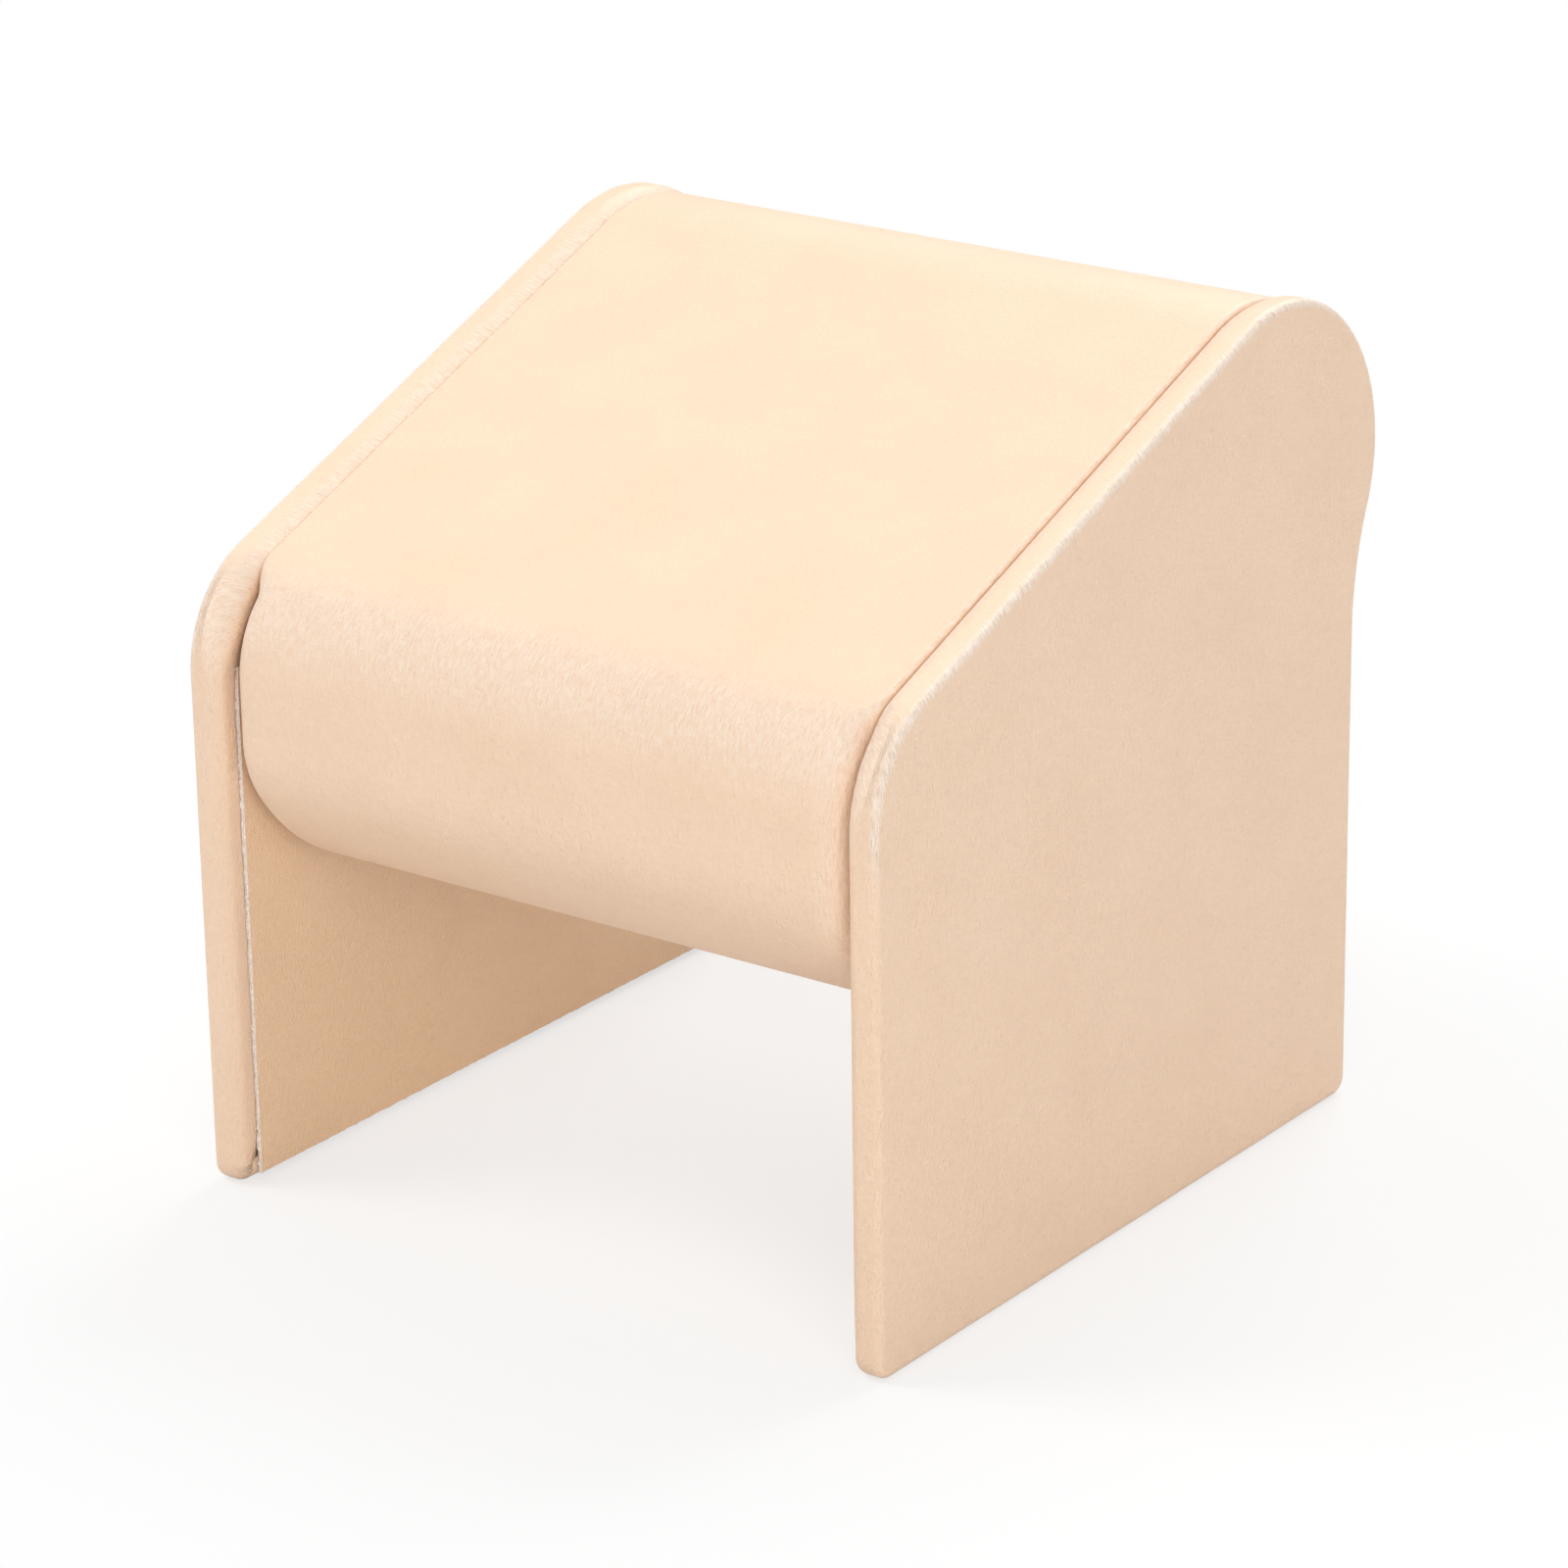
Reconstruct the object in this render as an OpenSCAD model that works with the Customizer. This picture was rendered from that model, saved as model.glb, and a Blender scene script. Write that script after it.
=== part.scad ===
// Covered watch stand: two side panels with a rounded bolster glued between them.
// Each panel is a board wrapped in leatherette, with a lining on its inner face.
// Millimetres. +Z is up, -Y is the front, and the origin is the middle of the footprint.

/* [Overall] */
// Width across the outer faces of the two side panels
stand_w = 75; // [60:1:110]
// Height to the top of the round back
stand_h = 80; // [76:1:96]
// Depth from the front edge to the rearmost point of the round back
stand_d = 79.4; // [70:0.2:96]

/* [Panel outline] */
// How far the round back stands out behind the legs
back_overhang = 3.4; // [1:0.2:8]
// Radius of the round back
back_r = 16.5; // [13:0.5:19]
// Height where the front edge starts to round over
shoulder_z = 49; // [42:1:54]
// Radius of the front shoulder
shoulder_r = 11.5; // [7:0.5:15]
// Radius of the waist, where the round back runs down into the leg
waist_r = 30; // [20:1:40]
// Radius of the foot corners
foot_r = 1.8; // [1.5:0.1:3]

/* [Panel layers] */
// Thickness of the board in each panel
board_t = 2; // [1.5:0.1:4]
// Thickness of the leatherette
cover_t = 0.6; // [0.4:0.05:0.8]
// Thickness of the lining sheet on the inner face
lining_t = 0.6; // [0.4:0.05:1]
// Width of the leatherette turned in on the inner face
hem_w = 9; // [6:0.5:12]
// Radius of the wrapped rim on its outer side
rim_outer_r = 0.8; // [0.5:0.05:0.9]
// Radius of the wrapped rim on its inner side
rim_inner_r = 1.2; // [0.7:0.05:1.3]

/* [Lining] */
// Distance from the rim to the lining's cut edge
lining_setback = 2.4; // [1.6:0.1:5]
// Height of the lining's lower edge above the base
lining_foot = 0.7; // [0.5:0.1:3]
// Height of the lining's upper edge at the front, tucked behind the bolster
lining_front_z = 50; // [46:0.5:54]
// Height of the lining's upper edge at the back, tucked behind the bolster
lining_back_z = 54; // [50:0.5:60]

/* [Bolster] */
// Distance from the panel's rim to the bolster's surface
bolster_inset = 0.4; // [0.2:0.1:2]
// Radius of the nose where the front turns under
nose_r = 10.5; // [8:0.5:14]
// Height of the centre of the nose
nose_z = 43.6; // [42:0.2:46]
// Angle turned by the nose before its underside flattens
nose_turn = 32; // [20:1:45]
// Radius of the flatter stretch under the nose
under_r = 21; // [17:0.5:24]
// Radius of the bolster's end edges
bolster_end_r = 2.8; // [1.5:0.1:4]
// Width of the leatherette folded over the bolster's ends
flap_w = 10; // [7:0.5:12]
// Width of the butt seam along the underside
seam_w = 0.4; // [0.3:0.05:0.6]
// Depth of the butt seam
seam_depth = 0.3; // [0.2:0.05:0.35]

/* [Smoothness] */
// Steps along the round back; the other arcs follow from it
back_steps = 32; // [16:4:40]

/* [Hidden] */

cover_color = [0.97, 0.88, 0.78];
lining_color = [0.88, 0.78, 0.65];
board_color = [0.72, 0.63, 0.52];
core_color = [0.80, 0.70, 0.55];

// Steps of the shorter arcs
shoulder_steps = back_steps / 2;
nose_steps = back_steps / 2;
under_steps = back_steps / 2;
waist_steps = back_steps / 4;
foot_steps = 5;
rim_steps = 4;
end_steps = 6;
overrun = 1; // cutters run this far past what they cut

// Point at distance r from the origin in direction a
function polar(r, a) = r * [cos(a), sin(a)];

// The outline lies in the panel's plane, as [y, z], with y = 0 at the front edge.
panel_t = board_t + 2 * cover_t;
leg_d = stand_d - back_overhang;
shoulder_c = [shoulder_r, shoulder_z];
back_c = [stand_d - back_r, stand_h - back_r];

// The slope is the line that touches the shoulder arc and the back arc from above.
span = back_c - shoulder_c;
slope_a = atan2(span[1], span[0]) + asin((back_r - shoulder_r) / norm(span));

// The waist arc touches the back arc and ends on the leg's back edge.
waist_a = -acos(1 - back_overhang / (back_r + waist_r));
waist_c = back_c + polar(back_r + waist_r, waist_a);

// The bolster's section keeps to the outline, then turns under at the nose.
nose_c = [bolster_inset + nose_r, nose_z];
turn_a = 180 + nose_turn;
under_c = nose_c + polar(nose_r - under_r, turn_a);
bolster_back_r = back_r - bolster_inset;
under_span = back_c - under_c;
// Direction of the normal of the straight underside, which touches both arcs
under_a = atan2(under_span[1], under_span[0])
  - acos((under_r - bolster_back_r) / norm(under_span));
under_start = under_c + polar(under_r, under_a);
under_end = back_c + polar(bolster_back_r, under_a);
seam_at = (under_start + under_end) / 2;

bolster_l = stand_w - 2 * (panel_t + lining_t);

// Points of an arc about centre c; a corner with no radius left is a single point.
function arc(c, r, a0, a1, steps) =
  r <= 0 ? [c] : [for (i = [0:steps]) c + polar(r, a0 + (a1 - a0) * i / steps)];

// An arc without its last point, where the next arc starts at that same point
function arc_up_to(c, r, a0, a1, steps) =
  [for (i = [0:steps - 1]) c + polar(r, a0 + (a1 - a0) * i / steps)];

// Centre of a foot corner of the outline moved in by d
function foot_c(y, side, d) = [y + side * max(foot_r, d), max(foot_r, d)];

// The panel's edge moved in by d, from the front shoulder over the top to the leg's back
function panel_top(d) = concat(
  arc(shoulder_c, shoulder_r - d, 180, 90 + slope_a, shoulder_steps),
  arc_up_to(back_c, back_r - d, 90 + slope_a, waist_a, back_steps),
  arc(waist_c, waist_r + d, 180 + waist_a, 180, waist_steps)
);

// The panel's outline moved in by d, with its foot corners rounded
function panel_outline(d) = concat(
  arc(foot_c(0, 1, d), foot_r - d, 270, 180, foot_steps),
  panel_top(d),
  arc(foot_c(leg_d, -1, d), foot_r - d, 0, -90, foot_steps)
);

// The same outline moved in along the rim only, and left whole at the base
function open_foot_outline(d) = concat([[d, 0]], panel_top(d), [[leg_d - d, 0]]);

// The bolster's section moved in by d, from the nose over the top and back underneath
function bolster_outline(d) = concat(
  arc_up_to(under_c, under_r - d, 360 + under_a, turn_a, under_steps),
  arc(nose_c, nose_r - d, turn_a, 180, nose_steps),
  arc(shoulder_c, shoulder_r - bolster_inset - d, 180, 90 + slope_a, shoulder_steps),
  arc(back_c, bolster_back_r - d, 90 + slope_a, under_a, back_steps)
);

// Stations [x, inset] of an edge rounded to r, from its end face at x towards the middle
function edge(x, r, towards, steps) =
  [for (i = [0:steps]) [x + towards * r * (1 - cos(90 * i / steps)), r * (1 - sin(90 * i / steps))]];

function reversed(v) = [for (i = [len(v) - 1:-1:0]) v[i]];

// A solid with one ring of points at each station and a flat face at each end
module loft(stations, rings) {
  n = len(rings[0]);
  last = len(rings) - 1;
  points = [for (s = [0:last]) for (p = rings[s]) [stations[s][0], p[0], p[1]]];
  sides = [for (s = [0:last - 1]) for (i = [0:n - 1])
    [s * n + i, s * n + (i + 1) % n, (s + 1) * n + (i + 1) % n, (s + 1) * n + i]];
  first_face = [for (i = [n - 1:-1:0]) i];
  last_face = [for (i = [0:n - 1]) last * n + i];
  polyhedron(points, concat(sides, [first_face], [last_face]));
}

// An outline drawn as [y, z] and run along X from x0 to x1
module slab(x0, x1, outline) {
  translate([x0, 0, 0]) rotate([90, 0, 90]) linear_extrude(x1 - x0) polygon(outline);
}

// Everything below is drawn with the front edge at y = 0, then centred by this module.
module centred() {
  translate([0, -stand_d / 2, 0]) children();
}

// One side panel's pieces are drawn for the right side; the left side is its mirror image.
module on_side(side) {
  centred() mirror([side < 0 ? 1 : 0, 0, 0]) children();
}

outer_x = stand_w / 2;
board_out_x = outer_x - cover_t;
board_in_x = board_out_x - board_t;
rim_in_x = outer_x - panel_t;
lining_in_x = rim_in_x - lining_t;

// The board fills the wrap and stops at the turned-in hem
module panel_board(side) {
  color(board_color) on_side(side) slab(board_in_x, board_out_x, panel_outline(cover_t));
}

// The leatherette covers the outer face, rolls over the rim and is turned in on the inner face
module panel_cover(side) {
  stations = concat(
    edge(rim_in_x, rim_inner_r, 1, rim_steps),
    reversed(edge(outer_x, rim_outer_r, -1, rim_steps))
  );
  color(cover_color) on_side(side) difference() {
    loft(stations, [for (s = stations) panel_outline(s[1])]);
    slab(board_in_x, board_out_x, panel_outline(cover_t));
    slab(rim_in_x - overrun, board_in_x, panel_outline(hem_w));
  }
}

// Region between the lining's lower edge and its upper edge
module lining_height() {
  slab(lining_in_x - overrun, board_in_x + overrun,
    [[0, lining_foot], [0, lining_front_z], [stand_d, lining_back_z], [stand_d, lining_foot]]);
}

// The lining is a flat sheet with cut edges, pressed down onto the board inside the hem
module panel_lining(side) {
  color(lining_color) on_side(side) intersection() {
    union() {
      slab(lining_in_x, rim_in_x, open_foot_outline(lining_setback));
      slab(rim_in_x, board_in_x, panel_outline(hem_w));
    }
    lining_height();
  }
}

// The bolster's solid inside the wrap of thickness skin, with rounded ends
module bolster_body(skin) {
  half = bolster_l / 2 - skin;
  r = bolster_end_r - skin;
  stations = concat(edge(-half, r, 1, end_steps), reversed(edge(half, r, -1, end_steps)));
  loft(stations, [for (s = stations) bolster_outline(skin + s[1])]);
}

// The core stands up to the linings inside the folded flaps, where it is glued
module bolster_core() {
  color(core_color) centred() {
    bolster_body(cover_t);
    slab(-bolster_l / 2, bolster_l / 2, bolster_outline(flap_w));
  }
}

// The leatherette goes round the core, meets in a butt seam and is folded over the ends
module bolster_cover() {
  color(cover_color) centred() difference() {
    bolster_body(0);
    bolster_body(cover_t);
    slab(-bolster_l / 2 - overrun, bolster_l / 2 + overrun, bolster_outline(flap_w));
    translate([0, seam_at[0], seam_at[1]]) rotate([90 + under_a, 0, 0])
      translate([-bolster_l, -seam_w / 2, -overrun]) cube([2 * bolster_l, seam_w, overrun + seam_depth]);
  }
}

panel_board(-1);  // left_panel_board
panel_board(1);  // right_panel_board
panel_cover(-1);  // left_panel_cover
panel_cover(1);  // right_panel_cover
panel_lining(-1);  // left_panel_lining
panel_lining(1);  // right_panel_lining
bolster_core();
bolster_cover();
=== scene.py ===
"""Looks of the covered watch stand: wrapped panels, bolster, linings, light and camera."""

import math
import random

import bpy
from mathutils import Matrix, Vector, noise


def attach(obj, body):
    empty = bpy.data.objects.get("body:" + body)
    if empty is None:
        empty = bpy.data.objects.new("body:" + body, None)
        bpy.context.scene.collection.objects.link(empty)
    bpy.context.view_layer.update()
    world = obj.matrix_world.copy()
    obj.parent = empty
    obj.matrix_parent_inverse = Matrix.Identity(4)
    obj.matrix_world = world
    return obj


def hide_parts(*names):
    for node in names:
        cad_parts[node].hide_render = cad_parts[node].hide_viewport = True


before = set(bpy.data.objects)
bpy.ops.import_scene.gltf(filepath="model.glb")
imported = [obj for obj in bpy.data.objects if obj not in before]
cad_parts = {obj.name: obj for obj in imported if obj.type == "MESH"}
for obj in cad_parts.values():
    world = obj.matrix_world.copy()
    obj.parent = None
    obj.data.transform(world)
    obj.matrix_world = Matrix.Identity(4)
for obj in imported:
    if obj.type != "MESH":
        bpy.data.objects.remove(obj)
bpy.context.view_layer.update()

MM = 0.001
SEED = 7

# Sizes of the stand, in millimetres, the same as in the part's source
STAND_W = 75.0
STAND_H = 80.0
STAND_D = 79.4
BACK_OVERHANG = 3.4
BACK_R = 16.5
SHOULDER_Z = 49.0
SHOULDER_R = 11.5
WAIST_R = 30.0
FOOT_R = 1.8
BOARD_T = 2.0
COVER_T = 0.6
LINING_T = 0.6
RIM_OUTER_R = 0.8
RIM_INNER_R = 1.2
LINING_SETBACK = 2.4
LINING_FOOT = 0.7
LINING_FRONT_Z = 50.0
LINING_BACK_Z = 54.0
BOLSTER_INSET = 0.4
NOSE_R = 10.5
NOSE_Z = 43.6
NOSE_TURN = math.radians(32)
UNDER_R = 21.0
BOLSTER_END_R = 2.8
SEAM_W = 0.4
SEAM_DEPTH = 0.3

# Finer steps than the source has, so that the round parts stay round close up
SHOULDER_STEPS = 40
BACK_STEPS = 72
WAIST_STEPS = 16
FOOT_STEPS = 8
NOSE_STEPS = 24
UNDER_STEPS = 36
RIM_STEPS = 8
END_STEPS = 12
LEG_SPANS = 30
SLOPE_SPANS = 36
BASE_SPANS = 48
NOSE_SPANS = 4
UNDER_SPANS = 60

# The outline's centres and angles, as [y, z] with y = 0 at the front edge
PANEL_T = BOARD_T + 2 * COVER_T
LEG_D = STAND_D - BACK_OVERHANG
SHOULDER_C = Vector((SHOULDER_R, SHOULDER_Z))
BACK_C = Vector((STAND_D - BACK_R, STAND_H - BACK_R))
SPAN = BACK_C - SHOULDER_C
SLOPE_A = math.atan2(SPAN.y, SPAN.x) + math.asin((BACK_R - SHOULDER_R) / SPAN.length)
SLOPE_N = math.pi / 2 + SLOPE_A
WAIST_A = -math.acos(1 - BACK_OVERHANG / (BACK_R + WAIST_R))
WAIST_C = BACK_C + (BACK_R + WAIST_R) * Vector((math.cos(WAIST_A), math.sin(WAIST_A)))
NOSE_C = Vector((BOLSTER_INSET + NOSE_R, NOSE_Z))
TURN_A = math.pi + NOSE_TURN
UNDER_C = NOSE_C + (NOSE_R - UNDER_R) * Vector((math.cos(TURN_A), math.sin(TURN_A)))
BOLSTER_BACK_R = BACK_R - BOLSTER_INSET
UNDER_SPAN = BACK_C - UNDER_C
UNDER_A = (math.atan2(UNDER_SPAN.y, UNDER_SPAN.x)
           - math.acos((UNDER_R - BOLSTER_BACK_R) / UNDER_SPAN.length))

OUTER_X = STAND_W / 2
RIM_IN_X = OUTER_X - PANEL_T
LINING_IN_X = RIM_IN_X - LINING_T
BOLSTER_HALF = LINING_IN_X


# Outlines


def turn(angle):
    """Unit vector at an angle in the outline's plane"""
    return Vector((math.cos(angle), math.sin(angle)))


def arc(centre, radius, start, end, steps):
    """Points and outward normals along an arc that bulges outwards"""
    angles = [start + (end - start) * i / steps for i in range(steps + 1)]
    return [(centre + max(radius, 0) * turn(a), turn(a)) for a in angles]


def hollow_arc(centre, radius, start, end, steps):
    """Points and outward normals along an arc that curves inwards"""
    angles = [start + (end - start) * i / steps for i in range(steps + 1)]
    return [(centre + radius * turn(a), -turn(a)) for a in angles]


def with_lines(parts):
    """Joins (arc, spans) pairs into one closed outline; a line of that many spans follows each arc"""
    joined = []
    arcs = [part for part, _ in parts]
    for (part, spans), following in zip(parts, arcs[1:] + arcs[:1]):
        joined += part
        if spans == 0:
            joined.pop()
            continue
        (a, normal), (b, _) = part[-1], following[0]
        joined += [(a + (b - a) * i / spans, normal) for i in range(1, spans)]
    return joined


def foot_c(y, side, inset):
    """Centre of a foot corner of the outline moved in"""
    corner = max(FOOT_R, inset)
    return Vector((y + side * corner, corner))


def panel_outline(inset):
    """The panel's outline moved in, from the front foot over the top to the back foot"""
    return with_lines([
        (arc(foot_c(0, 1, inset), FOOT_R - inset, 1.5 * math.pi, math.pi, FOOT_STEPS), LEG_SPANS),
        (arc(SHOULDER_C, SHOULDER_R - inset, math.pi, SLOPE_N, SHOULDER_STEPS), SLOPE_SPANS),
        (arc(BACK_C, BACK_R - inset, SLOPE_N, WAIST_A, BACK_STEPS), 0),
        (hollow_arc(WAIST_C, WAIST_R + inset, math.pi + WAIST_A, math.pi, WAIST_STEPS), LEG_SPANS),
        (arc(foot_c(LEG_D, -1, inset), FOOT_R - inset, 0, -math.pi / 2, FOOT_STEPS), BASE_SPANS),
    ])


def bolster_outline(inset):
    """The bolster's section moved in, from under the nose over the top and back underneath"""
    shoulder_r = SHOULDER_R - BOLSTER_INSET - inset
    return with_lines([
        (arc(UNDER_C, UNDER_R - inset, 2 * math.pi + UNDER_A, TURN_A, UNDER_STEPS), 0),
        (arc(NOSE_C, NOSE_R - inset, TURN_A, math.pi, NOSE_STEPS), NOSE_SPANS),
        (arc(SHOULDER_C, shoulder_r, math.pi, SLOPE_N, SHOULDER_STEPS), SLOPE_SPANS),
        (arc(BACK_C, BOLSTER_BACK_R - inset, SLOPE_N, UNDER_A, BACK_STEPS), UNDER_SPANS),
    ])


def waver(x, y, layer):
    """Smooth noise at a place, from about -1 to 1; another layer gives another pattern"""
    return noise.noise(Vector((x, y, layer)))


def ease(value, low, high):
    """Rises smoothly from 0 at low to 1 at high"""
    share = min(1.0, max(0.0, (value - low) / (high - low)))
    return share * share * (3 - 2 * share)


# Meshes and pieces


def to_row(x, y, z):
    """A point in the outline's millimetres as a point of the part, in metres"""
    return Vector((x, y - STAND_D / 2, z)) * MM


def make_mesh(name, points, faces, coords, crease_highlights=None, smooth=True):
    """A mesh object from points, faces, flat coordinates and each point's crease weight, which sets
    crease relief and painted highlight strokes
    """
    mesh = bpy.data.meshes.new(name)
    mesh.from_pydata(points, [], faces)
    layer = mesh.uv_layers.new(name="sheet")
    for loop in mesh.loops:
        layer.data[loop.index].uv = coords[loop.vertex_index]
    for polygon in mesh.polygons:
        polygon.use_smooth = smooth
    if crease_highlights:
        attribute = mesh.attributes.new("crease_highlight", "FLOAT", "POINT")
        attribute.data.foreach_set("value", crease_highlights)
    mesh.update()
    piece = bpy.data.objects.new(name, mesh)
    bpy.context.scene.collection.objects.link(piece)
    return piece


def loft(name, rings, coords, crease_highlights, flipped=False):
    """A closed mesh through rings of equal length, with a flat face at each end"""
    count = len(rings[0])
    points = [p for ring in rings for p in ring]
    flat = [c for ring in coords for c in ring]
    weights = [w for ring in crease_highlights for w in ring]
    faces = []
    for level in range(len(rings) - 1):
        base = level * count
        for i in range(count):
            j = (i + 1) % count
            faces.append((base + i, base + j, base + count + j, base + count + i))
    last = (len(rings) - 1) * count
    faces.append(tuple(range(count - 1, -1, -1)))
    faces.append(tuple(range(last, last + count)))
    if flipped:
        faces = [tuple(reversed(f)) for f in faces]
    return make_mesh(name, points, faces, flat, weights)


def finish_piece(piece, material, cad_node):
    """Gives a piece its material and its body, and hides the CAD node that it stands for"""
    piece.data.materials.append(material)
    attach(piece, "root")
    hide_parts(cad_node)


def recolour(node, material):
    """A CAD node that stays, with its own material"""
    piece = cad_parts[node]
    piece.data.materials.clear()
    piece.data.materials.append(material)


def quarter(radius, steps):
    """[depth, inset, length] along a rounded edge, from the face to the rim"""
    stations = []
    for i in range(steps + 1):
        a = math.pi / 2 * i / steps
        stations.append((radius * (1 - math.cos(a)), radius * (1 - math.sin(a)), radius * a))
    return stations


# Wrapped side panels

FACE_SUPPORT = 0.3       # a ring just inside the flat face, which keeps its shading flat
HEM_SHOWN = 5.0          # the hem runs on under the lining for this far
EDGE_SPANS = 3           # across the flat part of the rim, between its two roundings

# Gathers round the front shoulder
PLEAT_SPACING = 0.65
PLEAT_DEPTH = 0.1
PLEAT_END = math.pi + 0.05      # angle round the shoulder where they would end, just past the leg
PLEAT_FADE = (0.5, 0.35)        # angles over which they fade towards the slope and towards the leg
PLEAT_WANDER = (0.6, 1.6)       # how often and how far they stray from an even spacing
PLEAT_ON_EDGE = 0.25            # share of their depth that they reach on the flat part of the rim
PLEAT_ON_ROLL = 0.3             # share where the inner rounding starts; it is 1 where that ends
PLEAT_RUN_OUT = (               # [distance past the rounding, share]
    (0.3, 1.0), (0.7, 1.0), (1.2, 0.8), (1.8, 0.6), (2.4, 0.4), (HEM_SHOWN - RIM_INNER_R, 0.0),
)

# Shallow waves of the whole wrap, which only ever sink
WRAP_WAVE = 0.035
WRAP_WAVE_RATE = 0.11
WRAP_WAVE_TOP = 0.6

# Crease weights, in shares of the strongest one; they set the crease relief and the painted highlight
# and shade strokes
INNER_CREASE_HIGHLIGHT = 0.3
LEG_CREASE_HIGHLIGHT = 0.1
CREASE_HIGHLIGHT_FROM = 0.05      # upward share of the normal from which the crease strokes are strongest, with painted highlight on the upward-facing rim
FRONT_FACING = 0.5       # forward share of the normal on the front leg
CREASE_HIGHLIGHT_FADE = 5.0        # the crease strokes and their painted highlight fade down the front leg over this far

# Fullness of the folded rim
ROLL_R = 1.9             # the inner rounding grows to this round the shoulder and the back
LEG_BULGE = 0.15         # the turned-in hem stands this far past the flat inner face on the legs
TOP_BULGE = 0.6          # and this far from the shoulder to the round back
TOP_RISE = (-0.1, 0.5)   # upward shares of the normal between which the rim fills out
BULGE_FALL = (1.9, 3.8)  # insets between which the bulge sinks back to the face
FOOT_FADE = 6.0          # the bulge sets in over this height above the base
FLAT_FROM = (0.7, 0.93)  # upward shares of the normal between which the edges turn tight and flat


def pleat(point, share):
    """Depth of the gathers where the wrap turns in round the front shoulder"""
    along = math.atan2(point.y - SHOULDER_C.y, point.x - SHOULDER_C.x)
    if not SLOPE_N < along < PLEAT_END:
        return 0.0
    to_slope, to_leg = PLEAT_FADE
    fade = min(1.0, (along - SLOPE_N) / to_slope) * min(1.0, (PLEAT_END - along) / to_leg)
    travel = along * SHOULDER_R / PLEAT_SPACING
    rate, reach = PLEAT_WANDER
    wander = waver(travel * rate, 3.1, 0.0) * reach
    ridge = abs(math.sin(math.pi * (travel + wander)))
    return PLEAT_DEPTH * fade * share * (1 - math.sqrt(ridge))


def panel_stations():
    """[x, inset, unrolled length, pleats' share, crease weight for relief and painted highlight
    strokes] from the outer face to the hem's edge
    """
    outer = quarter(RIM_OUTER_R, RIM_STEPS)
    inner = quarter(RIM_INNER_R, RIM_STEPS)
    outer_len = outer[-1][2]
    flat_len = PANEL_T - RIM_OUTER_R - RIM_INNER_R
    inner_start = outer_len + flat_len
    inner_len = inner[-1][2]
    stations = [(OUTER_X, RIM_OUTER_R + FACE_SUPPORT, -FACE_SUPPORT, 0.0, 0.0)]
    for i, (depth, inset, length) in enumerate(outer):
        stations.append((OUTER_X - depth, inset, length, 0.0, math.sin(math.pi * i / RIM_STEPS)))
    for i in range(1, EDGE_SPANS):
        share = i / EDGE_SPANS
        stations.append((OUTER_X - RIM_OUTER_R - flat_len * share, 0.0,
                         outer_len + flat_len * share, PLEAT_ON_EDGE * share, 0.0))
    for i in range(RIM_STEPS, -1, -1):
        depth, inset, length = inner[i]
        stations.append((RIM_IN_X + depth, inset, inner_start + inner_len - length,
                         PLEAT_ON_ROLL + (1 - PLEAT_ON_ROLL) * (1 - i / RIM_STEPS),
                         INNER_CREASE_HIGHLIGHT * math.sin(math.pi * i / RIM_STEPS)))
    for extra, share in PLEAT_RUN_OUT:
        stations.append((RIM_IN_X, RIM_INNER_R + extra, inner_start + inner_len + extra, share, 0.0))
    return stations


def rolled(x, inset, point, normal):
    """[x, further inset] of a place on the folded rim, which is rounder and fuller towards the top"""
    depth = x - RIM_IN_X
    reach = PANEL_T - RIM_OUTER_R
    if depth >= reach:
        return x, 0.0
    top = ease(normal.y, *TOP_RISE)
    growth = (ROLL_R / RIM_INNER_R - 1) * top * (1 - ease(normal.y, *FLAT_FROM))
    if depth > RIM_INNER_R:
        share = (reach - depth) / (reach - RIM_INNER_R)
        return RIM_IN_X + reach - share * (reach - RIM_INNER_R * (1 + growth)), 0.0
    fall = 1 - ease(inset, *BULGE_FALL)
    rise = ease(inset, 0.0, RIM_INNER_R)
    foot = ease(point.y, 0.0, FOOT_FADE)
    full = (LEG_BULGE + (TOP_BULGE - LEG_BULGE) * top) * rise * fall * foot
    return RIM_IN_X + depth * (1 + growth) - full, min(inset, RIM_INNER_R) * growth * fall


def crease_highlight_along(point, normal):
    """How strongly the rim's crease strokes, relief and painted highlight, show at a place: most where
    the rim faces upwards, round the shoulder and over the top, fading down the legs
    """
    if normal.y > CREASE_HIGHLIGHT_FROM:
        return 1.0
    if -normal.x > FRONT_FACING:
        return max(0.0, 1 - (SHOULDER_Z - point.y) / CREASE_HIGHLIGHT_FADE)
    return LEG_CREASE_HIGHLIGHT


PANEL_INSIDE = (         # [x, inset] of the wrap's inner side, from the hem's edge to the outer face
    (RIM_IN_X + COVER_T, HEM_SHOWN), (RIM_IN_X + COVER_T, COVER_T), (OUTER_X - COVER_T, COVER_T),
)


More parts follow.
